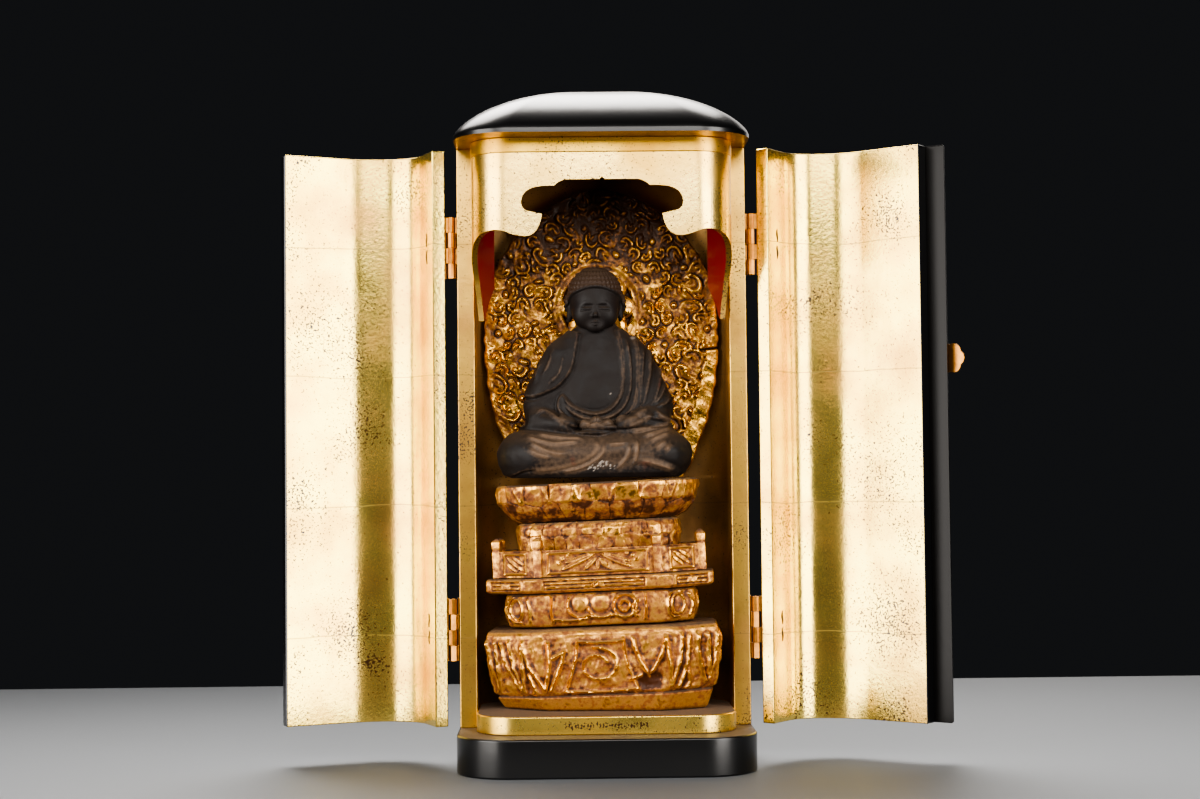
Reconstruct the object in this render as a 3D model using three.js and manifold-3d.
// Folding shrine box: a curved cabinet with two hinged doors, holding a seated figure on a tiered
// pedestal. Millimetres, +Z up, the front faces -Y. The origin is at the middle of the underside and the
// hinge line is at y = 0. Both doors are modelled open.
import * as THREE from 'three'
import { mergeVertices } from 'three/addons/utils/BufferGeometryUtils.js'
import Module from 'manifold-3d'

const wasm = await Module()
wasm.setup()

// ---- Driving sizes ------------------------------------------------------------------------------
const gap = 0.3                    // between pieces that meet inside a turned group
const plinth = { halfWidth: 64.5, halfDepth: 43.4, radius: 24, height: 16.6, soft: 0.8 }
const sill = { halfWidth: 56.2, front: 29.8, radius: 17.5, top: 24.5 }
const shell = { halfWidth: 64, depth: 41, radius: 26, insideRadius: 16, side: 7.5, back: 5.5, top: 272.3 }
const cap = { halfWidth: 64.2, rim: 1.6, rise: 24, squareness: 2.2, fullness: 0.7 }
const lintel = { halfWidth: 57.2, front: 30, radius: 18, thick: 6, bottom: 265.8 }
const valance = { halfWidth: 56.9, front: 29.4, radius: 17.4, thick: 2.4, tip: 195.5 }
const door = { depth: 40.45, thick: 5.9, edgeThick: 7.4, radius: 26, clear: 0.8, hingeGap: 0.3 }
const openAngle = { left: 156.8, right: 144.1 }
const hinge = { out: 2.6, pinRadius: 0.7, knuckleRadius: 1.55, height: 27.3, leafThick: 0.8 }
const hingeLeaf = { from: 1.9, to: 13, knuckles: 4, slit: 0.25 }
const hingeCentres = { left: [228.3, 59.7], right: [229, 59.5] }
const astragal = { halfWidth: 6, proud: 4.6, over: 2.4 }
const clasp = { z: 177, radius: 6.9, thick: 1.1, lobes: 6, shift: 5 }
const pedestal = { x: 0.5, y: 6.5, tilt: 2.1, yaw: -4 }
const figurePlace = { x: -3, y: 3, base: 126 }
const aureole = { y: 23.5, foot: 126, waist: 190, top: 257.4, halfWidth: 53.7, thick: 3.4, haloZ: 203.5 }

// ---- Outlines and closed skins ------------------------------------------------------------------
const degrees = Math.PI / 180

function arc(cx, cy, radius, from, to, steps) {
  return Array.from({ length: steps + 1 }, (_, i) => {
    const angle = (from + (to - from) * i / steps) * degrees
    return [cx + radius * Math.cos(angle), cy + radius * Math.sin(angle)]
  })
}

// Rounded rectangle, anticlockwise, pulled in all round by inset.
function roundedPlan({ halfWidth, front, back, radius, backRadius = radius, inset = 0, steps = 8 }) {
  const x = halfWidth - radius
  const r = radius - inset
  const xBack = halfWidth - backRadius
  const rBack = backRadius - inset
  return [
    ...arc(x, -front + radius, r, -90, 0, steps),
    ...arc(xBack, back - backRadius, rBack, 0, 90, steps),
    ...arc(-xBack, back - backRadius, rBack, 90, 180, steps),
    ...arc(-x, -front + radius, r, 180, 270, steps),
  ]
}

function solidOf(positions, index) {
  const geometry = new THREE.BufferGeometry()
  geometry.setAttribute('position', new THREE.Float32BufferAttribute(positions, 3))
  geometry.setIndex(index)
  return geometry
}

// Skin over rings of equal length, each a list of [x, y, z] running anticlockwise seen from above.
function skin(rings) {
  const count = rings[0].length
  const index = []
  for (let level = 0; level + 1 < rings.length; level++) {
    for (let i = 0; i < count; i++) {
      const a = level * count + i
      const b = level * count + (i + 1) % count
      index.push(a, b, b + count, a, b + count, a + count)
    }
  }
  const flat = rings[0].map(([x, y]) => new THREE.Vector2(x, y))
  const last = (rings.length - 1) * count
  const lidPlan = rings.at(-1).map(([x, y]) => new THREE.Vector2(x, y))
  for (const [a, b, c] of THREE.ShapeUtils.triangulateShape(flat, [])) index.push(c, b, a)
  for (const [a, b, c] of THREE.ShapeUtils.triangulateShape(lidPlan, [])) {
    index.push(last + a, last + b, last + c)
  }
  return solidOf(rings.flat(2), index)
}

function lift(plan, z) {
  return plan.map(([x, y]) => [x, y, z])
}

function prism(plan, bottom, top) {
  return skin([lift(plan, bottom), lift(plan, top)])
}

// ---- Joining and cutting ------------------------------------------------------------------------
function toManifold(geometry) {
  const bare = geometry.clone()
  bare.deleteAttribute('normal')
  bare.deleteAttribute('uv')
  const merged = mergeVertices(bare, 1e-3)
  const vertProperties = new Float32Array(merged.attributes.position.array)
  const triVerts = new Uint32Array(merged.index.array)
  return new wasm.Manifold(new wasm.Mesh({ numProp: 3, vertProperties, triVerts }))
}

function fromManifold(solid) {
  const { vertProperties, triVerts } = solid.getMesh()
  return solidOf(vertProperties, Array.from(triVerts))
}

function join(geometries) {
  return fromManifold(geometries.map(toManifold).reduce((sum, next) => sum.add(next)))
}

function cut(geometry, tools) {
  return fromManifold(tools.map(toManifold).reduce((rest, tool) => rest.subtract(tool), toManifold(geometry)))
}

// ---- Materials and naming -----------------------------------------------------------------------
const finish = (color, roughness, metalness) => new THREE.MeshStandardMaterial({ color, roughness, metalness })
const blackLacquer = finish(0x15161a, 0.25, 0)
const goldLeaf = finish(0xc99b3c, 0.32, 1)
const wornGilding = finish(0xa8712a, 0.45, 0.8)
const darkWood = finish(0x2c2420, 0.6, 0)
const brass = finish(0xc08a35, 0.35, 1)

const shrine = new THREE.Group()

function place(parent, name, geometry, material) {
  const mesh = new THREE.Mesh(geometry, material)
  mesh.name = name
  parent.add(mesh)
  return mesh
}

// ---- Cabinet: plinth, sill, shell, cap ------------------------------------------------------------
function softBoard(size, bottom, top, soft) {
  const ring = (inset, z) => lift(roundedPlan({ ...size, inset }), z)
  return skin([ring(soft, bottom), ring(0, bottom + soft), ring(0, top - soft), ring(soft, top)])
}

const plinthPlan = { halfWidth: plinth.halfWidth, front: plinth.halfDepth, back: plinth.halfDepth,
  radius: plinth.radius }
place(shrine, 'plinth', softBoard(plinthPlan, 0, plinth.height, plinth.soft), blackLacquer)

const shellInside = { halfWidth: shell.halfWidth - shell.side, back: shell.depth - shell.back,
  radius: shell.insideRadius }
const sillPlan = { halfWidth: sill.halfWidth, front: sill.front, back: shellInside.back - gap,
  radius: sill.radius, backRadius: shellInside.radius - gap }
place(shrine, 'sill', softBoard(sillPlan, plinth.height, sill.top, 0.5), goldLeaf)

function shellPlan() {
  const outer = shell.halfWidth - shell.radius
  const inner = shellInside.halfWidth - shellInside.radius
  const yOuter = shell.depth - shell.radius
  const yInner = shellInside.back - shellInside.radius
  return [
    [shell.halfWidth, 0],
    ...arc(outer, yOuter, shell.radius, 0, 90, 10),
    ...arc(-outer, yOuter, shell.radius, 90, 180, 10),
    [-shell.halfWidth, 0],
    [-shellInside.halfWidth, 0],
    ...arc(-inner, yInner, shellInside.radius, 180, 90, 10),
    ...arc(inner, yInner, shellInside.radius, 90, 0, 10),
    [shellInside.halfWidth, 0],
  ]
}
place(shrine, 'shell', prism(shellPlan(), plinth.height, shell.top), blackLacquer)

function domedCap() {
  const shares = [1, 0.985, 0.95, 0.89, 0.8, 0.68, 0.52, 0.34, 0.16]
  const plan = roundedPlan({ ...plinthPlan, halfWidth: cap.halfWidth, steps: 7 })
  const dome = shares.map((share) => {
    const height = (1 - share ** cap.squareness) ** cap.fullness
    return plan.map(([x, y]) => [x * share, y * share, shell.top + cap.rim + (cap.rise - cap.rim) * height])
  })
  return skin([lift(plan, shell.top), ...dome])
}
place(shrine, 'cap', domedCap(), blackLacquer)

// ---- Gilt band and hanging valance ----------------------------------------------------------------
function lintelPlan() {
  const { halfWidth, front, radius, thick } = lintel
  const x = halfWidth - radius
  const y = -front + radius
  return [
    [-halfWidth, -gap],
    ...arc(-x, y, radius, 180, 270, 8),
    ...arc(x, y, radius, 270, 360, 8),
    [halfWidth, -gap],
    [halfWidth - thick, -gap],
    ...arc(x, y, radius - thick, 360, 270, 8),
    ...arc(-x, y, radius - thick, 270, 180, 8),
    [-halfWidth + thick, -gap],
  ]
}
place(shrine, 'lintel_band', prism(lintelPlan(), lintel.bottom, shell.top), goldLeaf)

// The board follows the rounded front, then its two ends turn inward behind the cabinet's front edges.
function valancePlan() {
  const { halfWidth, front, radius, thick } = valance
  const x = halfWidth - radius
  const y = -front + radius
  const [endX, endY] = [47.5, 12]
  return [
    [-endX, endY],
    ...arc(-x, y, radius, 172, 270, 9),
    ...arc(x, y, radius, 270, 368, 9),
    [endX, endY],
    [endX - thick, endY],
    ...arc(x, y, radius - thick, 368, 270, 9),
    ...arc(-x, y, radius - thick, 270, 172, 9),
    [-endX + thick, endY],
  ]
}

// Everything below the board's lower edge, seen from the front.
function frontOpening() {
  const shape = new THREE.Shape()
  const half = (side) => {
    const to = (x, z) => shape.lineTo(side * x, z)
    const bow = (cx, cz, x, z) => shape.quadraticCurveTo(side * cx, cz, side * x, z)
    return { to, bow }
  }
  const right = half(1)
  const left = half(-1)
  shape.moveTo(60, 180)
  right.to(60, 224)
  right.to(55.2, 224)
  right.bow(53.8, 231.5, 48.5, 232.6)
  right.bow(45, 232.8, 41, 231.4)
  right.bow(35, 228.6, 31, 230)
  right.bow(26.8, 232, 26, 239.3)
  right.bow(28.5, 240.3, 31.5, 240)
  right.bow(34.8, 241.2, 34.7, 244.5)
  right.bow(34.2, 251, 27, 251.2)
  right.to(20.4, 251.2)
  right.bow(18.4, 252, 17, 254)
  right.to(1, 254)
  shape.lineTo(0, 255)
  left.to(1, 254)
  left.to(17, 254)
  left.bow(18.4, 252, 20.4, 251.2)
  left.to(27, 251.2)
  left.bow(34.2, 251, 34.7, 244.5)
  left.bow(34.8, 241.2, 31.5, 240)
  left.bow(28.5, 240.3, 26, 239.3)
  left.bow(26.8, 232, 31, 230)
  left.bow(35, 228.6, 41, 231.4)
  left.bow(45, 232.8, 48.5, 232.6)
  left.bow(53.8, 231.5, 55.2, 224)
  left.to(60, 224)
  left.to(60, 180)
  const tool = new THREE.ExtrudeGeometry(shape, { depth: 22, bevelEnabled: false, curveSegments: 4 })
  return tool.rotateX(Math.PI / 2).translate(0, -10, 0)
}

// Everything outside the hanging tongue at each end, seen from the side.
function tongueCut() {
  const shape = new THREE.Shape()
  shape.moveTo(-12, 180)
  shape.lineTo(20, 180)
  shape.lineTo(20, 214)
  shape.lineTo(12, 211.5)
  shape.quadraticCurveTo(4, 204, 1, 199)
  shape.lineTo(-2, valance.tip)
  shape.quadraticCurveTo(-3.6, 203, -5.5, 209)
  shape.quadraticCurveTo(-7.5, 218, -10.5, 224)
  shape.lineTo(-12, 224)
  const tool = new THREE.ExtrudeGeometry(shape, { depth: 130, bevelEnabled: false, curveSegments: 3 })
  return tool.rotateX(Math.PI / 2).rotateZ(Math.PI / 2).translate(-65, 0, 0)
}
const valanceBoard = prism(valancePlan(), valance.tip - 2, lintel.bottom)
place(shrine, 'valance', cut(valanceBoard, [frontOpening(), tongueCut()]), goldLeaf)

// ---- Doors ----------------------------------------------------------------------------------------
const pivotX = shell.halfWidth + hinge.out
const doorWidth = pivotX - gap
const doorBottom = plinth.height + door.clear
const doorTop = shell.top - door.clear - 0.4

// Plan of a closed door seen from its pivot: u runs toward the middle of the cabinet, v toward the front.
function doorPlan() {
  const { depth, thick, edgeThick, radius, hingeGap } = door
  const [cu, cv] = [hinge.out + radius, depth - radius]
  return [
    [hinge.out, hingeGap],
    ...arc(cu, cv, radius, 180, 90, 10),
    [doorWidth, depth],
    [doorWidth, depth - edgeThick],
    ...arc(cu, cv, radius - thick, 90, 180, 10),
    [hinge.out + thick, hingeGap],
  ]
}

// Turns a plan in u and v into x and y for the left (-1) or right (1) door, kept anticlockwise.
function hang(plan, side) {
  const points = plan.map(([u, v]) => [-side * u, -v])
  return side < 0 ? points : points.reverse()
}

const doorGroups = {}
for (const [name, side] of [['left', -1], ['right', 1]]) {
  const group = new THREE.Group()
  group.position.set(side * pivotX, 0, 0)
  group.rotation.z = side * openAngle[name] * degrees
  shrine.add(group)
  doorGroups[name] = group
  place(group, `${name}_door`, prism(hang(doorPlan(), side), doorBottom, doorTop), goldLeaf)
}

const battenBase = door.depth + gap
const battenPlan = arc(0, 0, 1, 180, 0, 10).map(([u, v]) => [
  doorWidth + astragal.over + astragal.halfWidth * u,
  battenBase + astragal.proud * v,
])
place(doorGroups.right, 'astragal', prism(hang(battenPlan, 1), doorBottom, doorTop), blackLacquer)

// A flat lobed plate with a pin, drawn facing up and then stood against the batten.
function claspPlate() {
  const turns = 48
  const rim = Array.from({ length: turns }, (_, i) => {
    const angle = 2 * Math.PI * i / turns
    const radius = clasp.radius * (0.88 + 0.12 * Math.abs(Math.cos(clasp.lobes * angle / 2)))
    return [radius * Math.cos(angle), radius * Math.sin(angle)]
  })
  const plate = prism(rim, 0, clasp.thick)
  const pin = new THREE.CylinderGeometry(1.1, 1.5, 1.2, 12).rotateX(Math.PI / 2)
  pin.translate(clasp.shift, 0, clasp.thick + 0.3)
  const both = join([plate, pin])
  const face = battenBase + astragal.proud + gap
  const middle = doorWidth + astragal.over + clasp.shift
  return both.rotateX(Math.PI / 2).translate(-middle, -face, clasp.z)
}
place(doorGroups.right, 'clasp', claspPlate(), brass)

// ---- Hinges ---------------------------------------------------------------------------------------
const knucklePitch = hinge.height / hingeLeaf.knuckles

function knuckle(bottom) {
  const height = knucklePitch - hingeLeaf.slit
  const profile = [
    [hinge.pinRadius + 0.25, 0], [hinge.knuckleRadius, 0],
    [hinge.knuckleRadius, height], [hinge.pinRadius + 0.25, height], [hinge.pinRadius + 0.25, 0],
  ].map(([r, z]) => new THREE.Vector2(r, z))
  return new THREE.LatheGeometry(profile, 8).rotateX(Math.PI / 2).translate(0, 0, bottom)
}

// A leaf that lies along the outer face, with every second knuckle. back is 1 for the cabinet, -1 for a door.
function hingeLeafSolid(side, back, clearance, centre) {
  const face = hinge.out - clearance
  const plan = [[face, hingeLeaf.from], [face, hingeLeaf.to], [face - hinge.leafThick, hingeLeaf.to],
    [face - hinge.leafThick, hingeLeaf.from]]
  const arm = [[face, hingeLeaf.from + 0.8], [face - hinge.leafThick, hingeLeaf.from + 0.8],
    [1.05, 1.05], [face - 0.9, 0.5], [face, hingeLeaf.from - 0.7]]
  const toPlan = (points) => {
    const placed = points.map(([u, v]) => [-side * u, back * v])
    return THREE.ShapeUtils.isClockWise(placed.map(([x, y]) => new THREE.Vector2(x, y)))
      ? placed.reverse() : placed
  }
  const bottom = centre - hinge.height / 2
  const parts = [prism(toPlan(plan), bottom, bottom + hinge.height)]
  for (let i = back > 0 ? 0 : 1; i < hingeLeaf.knuckles; i += 2) {
    const start = bottom + i * knucklePitch
    parts.push(knuckle(start))
    parts.push(prism(toPlan(arm), start, start + knucklePitch - hingeLeaf.slit))
  }
  return join(parts)
}

for (const [name, side] of [['left', -1], ['right', 1]]) {
  hingeCentres[name].forEach((centre, i) => {
    const level = i === 0 ? 'upper' : 'lower'
    const leaf = hingeLeafSolid(side, 1, 0, centre).translate(side * pivotX, 0, 0)
    place(shrine, `hinge_cabinet_leaf_${name}_${level}`, leaf, brass)
    const pin = new THREE.CylinderGeometry(hinge.pinRadius, hinge.pinRadius, hinge.height - 0.2, 8)
    pin.rotateX(Math.PI / 2).translate(side * pivotX, 0, centre)
    place(shrine, `hinge_pin_${name}_${level}`, pin, brass)
    place(doorGroups[name], `hinge_door_leaf_${name}_${level}`, hingeLeafSolid(side, -1, gap, centre), brass)
  })
}

// ---- Pedestal -------------------------------------------------------------------------------------
const stack = new THREE.Group()
stack.position.set(pedestal.x, pedestal.y, sill.top)
stack.rotation.set(0, -pedestal.tilt * degrees, pedestal.yaw * degrees)
shrine.add(stack)

// Rectangle with cut corners, each edge in a few steps, pulled in by inset.
function chamferedPlan({ halfWidth, halfDepth, cutX, cutY }, inset, steps = 1) {
  const [w, d] = [halfWidth - inset, halfDepth - inset]
  const corners = [[w - cutX, -d], [w, -d + cutY], [w, d - cutY], [w - cutX, d], [-w + cutX, d],
    [-w, d - cutY], [-w, -d + cutY], [-w + cutX, -d]]
  return corners.flatMap(([x, y], i) => {
    const [nextX, nextY] = corners[(i + 1) % corners.length]
    return Array.from({ length: steps }, (_, k) => [x + (nextX - x) * k / steps, y + (nextY - y) * k / steps])
  })
}

// A raised stroke of the carving, from one point of a face to another. The face is a vertical plane
// through at, turned by angle about +Z; along runs across it and up runs up it.
function stroke(at, angle, [along0, up0], [along1, up1], width = 1.3, depth = 2.4) {
  const length = Math.hypot(along1 - along0, up1 - up0)
  const bar = new THREE.BoxGeometry(length, depth, width)
  bar.rotateY(-Math.atan2(up1 - up0, along1 - along0))
  bar.translate((along0 + along1) / 2, 0, (up0 + up1) / 2)
  return bar.rotateZ(angle * degrees).translate(at[0], at[1], 0)
}

function ringStroke(at, angle, [along, up], radius, width = 1.1, depth = 2.2, sides = 12) {
  const profile = [[radius - width, -depth / 2], [radius, -depth / 2], [radius, depth / 2],
    [radius - width, depth / 2], [radius - width, -depth / 2]].map(([r, y]) => new THREE.Vector2(r, y))
  const ring = new THREE.LatheGeometry(profile, sides).translate(along, 0, up)
  return ring.rotateZ(angle * degrees).translate(at[0], at[1], 0)
}

const base = { halfWidth: 52, halfDepth: 24.5, cutX: 18.5, cutY: 11, height: 36.7 }
const chamferAngle = Math.atan2(base.cutY, base.cutX) / degrees

function baseBlock() {
  const turn = pedestal.yaw * degrees
  const level = ([x, y]) => -(x * Math.cos(turn) - y * Math.sin(turn)) * Math.tan(pedestal.tilt * degrees)
  const profile = [[0, 6], [1, 4.6], [6.6, 2.6], [7.2, 4], [9, 3.2], [20, 0.8], [31, 0], [33.4, 1], [36.7, 4]]
  const rings = profile.map(([z, inset]) => chamferedPlan(base, inset, 2).map((point) => {
    const share = Math.max(0, 1 - z / 7)
    return [...point, gap + z + level(point) * share]
  }))
  const front = [0, -base.halfDepth + 1.4]
  const strokes = [
    stroke(front, 0, [-10, 32], [10, 32]),
    stroke(front, 0, [-18, 9.5], [18, 9.5], 1.3, 4),
    stroke(front, 0, [-18, 9.5], [-10, 32]),
    stroke(front, 0, [18, 9.5], [10, 32]),
    ringStroke(front, 0, [0, 21], 8.8),
    ringStroke(front, 0, [1, 20], 4),
  ]
  for (const side of [-1, 1]) {
    const corner = [side * (base.halfWidth - base.cutX / 2 - 1), -base.halfDepth + base.cutY / 2 + 1]
    for (let i = 0; i < 4; i++) {
      const along = -9 + 6 * i
      strokes.push(stroke(corner, side * chamferAngle, [along - 2.2, 10], [along, 31]))
      strokes.push(stroke(corner, side * chamferAngle, [along + 2.2, 10], [along, 31]))
    }
    for (let i = 0; i < 2; i++) {
      const along = side * (22.5 + 6.5 * i)
      strokes.push(stroke(front, 0, [along, 10], [along - side * 4, 31]))
    }
  }
  return join([skin(rings), ...strokes])
}
place(stack, 'base_block', baseBlock(), wornGilding)

const waist = { halfWidth: 42, halfDepth: 19.5, cutX: 13, cutY: 8, bottom: 37.3, top: 51.9 }
function waistDrum() {
  const profile = [[0, 2.6], [1.4, 1.4], [7, 0.2], [13.6, 0.6], [14.6, 1.6]]
  const rings = profile.map(([z, inset]) => lift(chamferedPlan(waist, inset, 2), waist.bottom + z))
  const front = [0, -waist.halfDepth + 0.6]
  const middle = waist.bottom + 7.4
  const strokes = [-9, 0, 9].map((along) => ringStroke(front, 0, [along, middle], 5.4))
  for (const along of [-27, -18, 18, 27]) {
    strokes.push(stroke(front, 0, [along, waist.bottom + 1.5], [along, waist.top - 1.5]))
  }
  return join([skin(rings), ...strokes])
}
place(stack, 'waist_drum', waistDrum(), wornGilding)

const ledge = { halfWidth: 50.2, halfDepth: 23.5, cutX: 18, cutY: 11, bottom: 52.3, top: 58.9 }
const ledgeProfile = [[0, 3], [1, 0.5], [2.6, 0.2], [3, 1.2], [4.2, 1.2], [4.6, 0.2], [5.9, 0.2], [6.6, 1]]
const ledgeRings = ledgeProfile.map(([z, inset]) => lift(chamferedPlan(ledge, inset), ledge.bottom + z))
place(stack, 'ledge_slab', skin(ledgeRings), wornGilding)

const railing = { halfWidth: 46, halfDepth: 20.5, cutX: 19, cutY: 11.5, bottom: 59.3, top: 70.9, postTop: 76.6 }
function railingWall() {
  const solid = prism(chamferedPlan(railing, 0), railing.bottom, railing.top)
  const inside = prism(chamferedPlan(railing, 2), railing.bottom - 1, railing.top + 1)
  const post = ([x, y]) => new THREE.BoxGeometry(3.6, 3.6, railing.postTop - railing.bottom)
    .translate(x, y, (railing.postTop + railing.bottom) / 2)
  const posts = chamferedPlan(railing, 1.2).map(post)
  const [low, high] = [railing.bottom + 1.2, railing.top - 1.2]
  const front = [0, -railing.halfDepth]
  const frame = [
    stroke(front, 0, [-23, low], [23, low], 1, 1), stroke(front, 0, [-23, high], [23, high], 1, 1),
    stroke(front, 0, [-23, low], [-23, high], 1, 1), stroke(front, 0, [23, low], [23, high], 1, 1),
  ]
  const fan = [-1, 1].flatMap((side) => [5, 11, 17].map((reach) =>
    stroke(front, 0, [side * 1.5, high - 1], [side * reach, low + 1.5], 1, 1)))
  return join([cut(solid, [inside]), ...posts, ...frame, ...fan])
}
place(stack, 'railing', railingWall(), wornGilding)

// A tier of petals: a rounded plan whose edge swells into equal lobes.
function petalTier(size, profile, lobes, swell, steps = 6) {
  const count = lobes * steps
  const rings = profile.map(([z, inset, share]) => Array.from({ length: count }, (_, i) => {
    const angle = 2 * Math.PI * (i + 0.5) / count
    const lobe = swell * share * (Math.abs(Math.sin(lobes * angle / 2)) - 1)
    const [c, s] = [Math.cos(angle), Math.sin(angle)]
    const x = Math.sign(c) * Math.abs(c) ** size.squareness * (size.halfWidth - inset + lobe)
    const y = Math.sign(s) * Math.abs(s) ** size.squareness * (size.halfDepth - inset + lobe)
    return [x, y, z]
  }))
  return skin(rings)
}
const lotusRing = { halfWidth: 37.5, halfDepth: 16, squareness: 0.75 }
const ringProfile = [[59.3, 1, 0], [73, 1, 0], [76, 0, 1], [82.6, 1.2, 0.6]]
place(stack, 'lotus_ring', petalTier(lotusRing, ringProfile, 16, 1.4, 4), wornGilding)

const throne = { halfWidth: 45.7, halfDepth: 22.5, squareness: 0.72 }
const throneProfile = [[83, 9, 0.2], [84.6, 6, 1], [88, 2.8, 1], [92, 0.9, 1], [97.8, 0, 0.8], [99.6, 0.9, 0]]
place(stack, 'throne_slab', petalTier(throne, throneProfile, 14, 1.7, 4), wornGilding)

// ---- Figure ---------------------------------------------------------------------------------------
// Rings of a superellipse: each level is [z, half width, half depth, middle y].
function rounded(levels, power, count = 22) {
  return skin(levels.map(([z, a, b, middle]) => Array.from({ length: count }, (_, i) => {
    const angle = 2 * Math.PI * i / count
    const [c, s] = [Math.cos(angle), Math.sin(angle)]
    return [a * Math.sign(c) * Math.abs(c) ** (2 / power), middle + b * Math.sign(s) * Math.abs(s) ** (2 / power), z]
  })))
}

const legLevels = [[0, 37, 15.5, 0], [2, 39.8, 17.2, 0], [6, 41.5, 17.8, 0], [11, 42, 17.6, 0],
  [15, 40.3, 16.6, 0.4], [18.5, 36, 14.6, 0.8], [21.5, 29, 11, 1.5]]
const torsoLevels = [[17, 33, 11, 5], [23, 32.8, 12.5, 4.5], [33, 30.6, 12.6, 5], [42, 28.6, 12.4, 5.2],
  [50, 26, 12, 5.2], [56, 22.8, 11, 5], [61, 18.5, 9.5, 4.6], [65, 13.5, 8, 4.2], [68, 9.5, 7, 4],
  [72, 8, 6.6, 3.8]]
const headLevels = [[63.8, 4, 4.6, 1], [65.2, 7, 8, 1.5], [68, 9.6, 10.4, 2], [72, 10.8, 11.4, 2.4],
  [77, 11.2, 11.8, 2.6], [83, 11.3, 12, 2.8], [84.4, 12, 12.8, 2.8], [88, 11.2, 12, 3], [91, 8.4, 9, 3.2],
  [92.4, 5.6, 6, 3.4], [94.2, 4.6, 5, 3.4], [95.2, 2.4, 2.6, 3.4]]

// Depth of the front of the body at a place, read off the torso's levels.
function torsoFront(x, z) {
  const above = torsoLevels.findIndex(([level]) => level > z)
  const [lower, upper] = [torsoLevels[above - 1], torsoLevels[above]]
  const t = (z - lower[0]) / (upper[0] - lower[0])
  const [a, b, middle] = [1, 2, 3].map((k) => lower[k] + (upper[k] - lower[k]) * t)
  return middle - b * (1 - Math.min(0.98, Math.abs(x) / a) ** 2.3) ** (1 / 2.3)
}

// A ridge of cloth through points [x, z] on the front of the body.
function fold(points, radius = 0.9) {
  const curve = new THREE.CatmullRomCurve3(points.map(([x, z]) => new THREE.Vector3(x, torsoFront(x, z), z)))
  const section = new THREE.Shape(arc(0, 0, radius, 0, 288, 4).map(([x, y]) => new THREE.Vector2(x, y)))
  return new THREE.ExtrudeGeometry(section, { steps: 8, bevelEnabled: false, extrudePath: curve })
}

function limb(from, to, radiusAcross, radiusUp) {
  const direction = new THREE.Vector3(...to).sub(new THREE.Vector3(...from))
  const ball = new THREE.SphereGeometry(1, 10, 6)
  ball.scale(direction.length() / 2 + radiusAcross * 0.6, radiusAcross, radiusUp)
  const turn = new THREE.Quaternion().setFromUnitVectors(new THREE.Vector3(1, 0, 0), direction.clone().normalize())
  ball.applyQuaternion(turn)
  return ball.translate(...new THREE.Vector3(...from).addScaledVector(direction, 0.5).toArray())
}

function seatedFigure() {
  const folds = [
    fold([[-9.5, 66], [-12, 56], [-12, 44], [-8, 33], [0, 29.5], [9, 33], [13, 45], [12, 56], [9.5, 66]]),
    fold([[-16, 60], [-19, 48], [-17, 35], [-8, 26.5], [3, 25.5], [15, 32], [19, 46], [16, 60]]),
    fold([[-22, 53], [-25, 42], [-20, 33]]),
    fold([[22, 53], [25, 40], [22, 28]]),
  ]
  const mirrored = [-1, 1].flatMap((side) => [
    limb([side * 27, -3, 25], [side * 8, -12, 20], 6, 5.4),
    limb([side * 34, -8, 10], [side * 4, -14, 8], 5.5, 7),
    new THREE.SphereGeometry(1, 6, 5).scale(1.5, 2.6, 6.4).translate(side * 12, 3, 74.5),
  ])
  const hands = new THREE.SphereGeometry(1, 10, 6).scale(9, 4.6, 3.4).translate(0, -12.5, 21)
  const nose = new THREE.ConeGeometry(1.5, 5.5, 6).rotateX(Math.PI / 2)
  nose.translate(0, -9, 75)
  return join([rounded(legLevels, 2.8), rounded(torsoLevels, 2.3), rounded(headLevels, 2.2, 18), hands, nose,
    ...mirrored, ...folds]).translate(figurePlace.x, figurePlace.y, figurePlace.base)
}
place(shrine, 'figure', seatedFigure(), darkWood)

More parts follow.
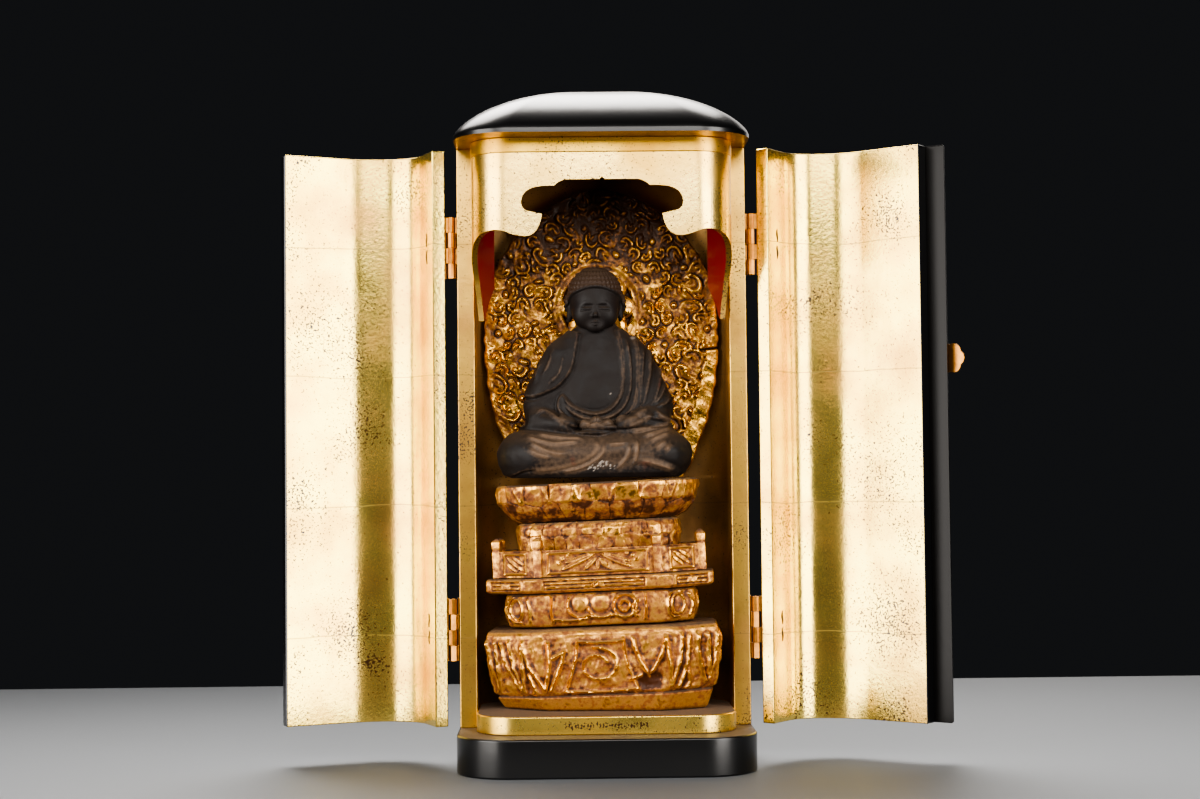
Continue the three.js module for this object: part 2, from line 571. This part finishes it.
// ---- Aureole --------------------------------------------------------------------------------------
function aureoleHalfWidth(z) {
  const above = (z - aureole.waist) / (aureole.top - aureole.waist)
  if (above > 0) return aureole.halfWidth * (1 - above ** 2.3) ** 0.6
  return aureole.halfWidth * (1 - ((aureole.waist - z) / 109) ** 2.23)
}

function curl(x, z, radius, turn) {
  const path = arc(x, z, radius, turn, turn + 280, 7).map(([px, pz]) => new THREE.Vector3(px, 0, pz))
  const section = new THREE.Shape(arc(0, 0, 1.1, 0, 270, 3).map(([a, b]) => new THREE.Vector2(a, b)))
  const ridge = new THREE.ExtrudeGeometry(section, {
    steps: 6, bevelEnabled: false, extrudePath: new THREE.CatmullRomCurve3(path),
  })
  return ridge.translate(0, aureole.y, 0)
}

function carvedAureole() {
  const rows = 22
  const heights = Array.from({ length: rows + 1 }, (_, i) =>
    aureole.top - (aureole.top - aureole.foot) * (1 - Math.cos(Math.PI * i / rows / 2)) - 0.01)
  const right = heights.map((z) => [aureoleHalfWidth(z), z])
  const outline = [...right, ...right.slice().reverse().map(([x, z]) => [-x, z])]
  const shape = new THREE.Shape(outline.map(([x, z]) => new THREE.Vector2(x, z)))
  const board = new THREE.ExtrudeGeometry(shape, { depth: aureole.thick, bevelEnabled: false })
  board.rotateX(Math.PI / 2).translate(0, aureole.y + aureole.thick, 0)
  const halo = ringStroke([0, aureole.y], 0, [0, aureole.haloZ], 20, 2, 3, 20)
  const petals = Array.from({ length: 12 }, (_, i) => {
    const angle = 2 * Math.PI * i / 12
    const petal = new THREE.SphereGeometry(1, 5, 4).scale(6, 1.6, 2.6).rotateY(-angle)
    return petal.translate(11 * Math.cos(angle), aureole.y, aureole.haloZ + 11 * Math.sin(angle))
  })
  const curls = []
  for (let row = 0; row < 6; row++) {
    const z = 144 + 19 * row
    for (const side of [-1, 1]) {
      const reach = aureoleHalfWidth(z) - 6
      for (let x = reach; x > 6; x -= 15) {
        const outside = Math.hypot(x, z - aureole.haloZ) > 27
        const clear = z > 196 || x > 22
        if (outside && clear) curls.push(curl(side * x, z, 4.6, 90 + side * 40 + 30 * row))
      }
    }
  }
  return join([board, halo, ...petals, ...curls])
}
place(shrine, 'aureole', carvedAureole(), wornGilding)

export default shrine
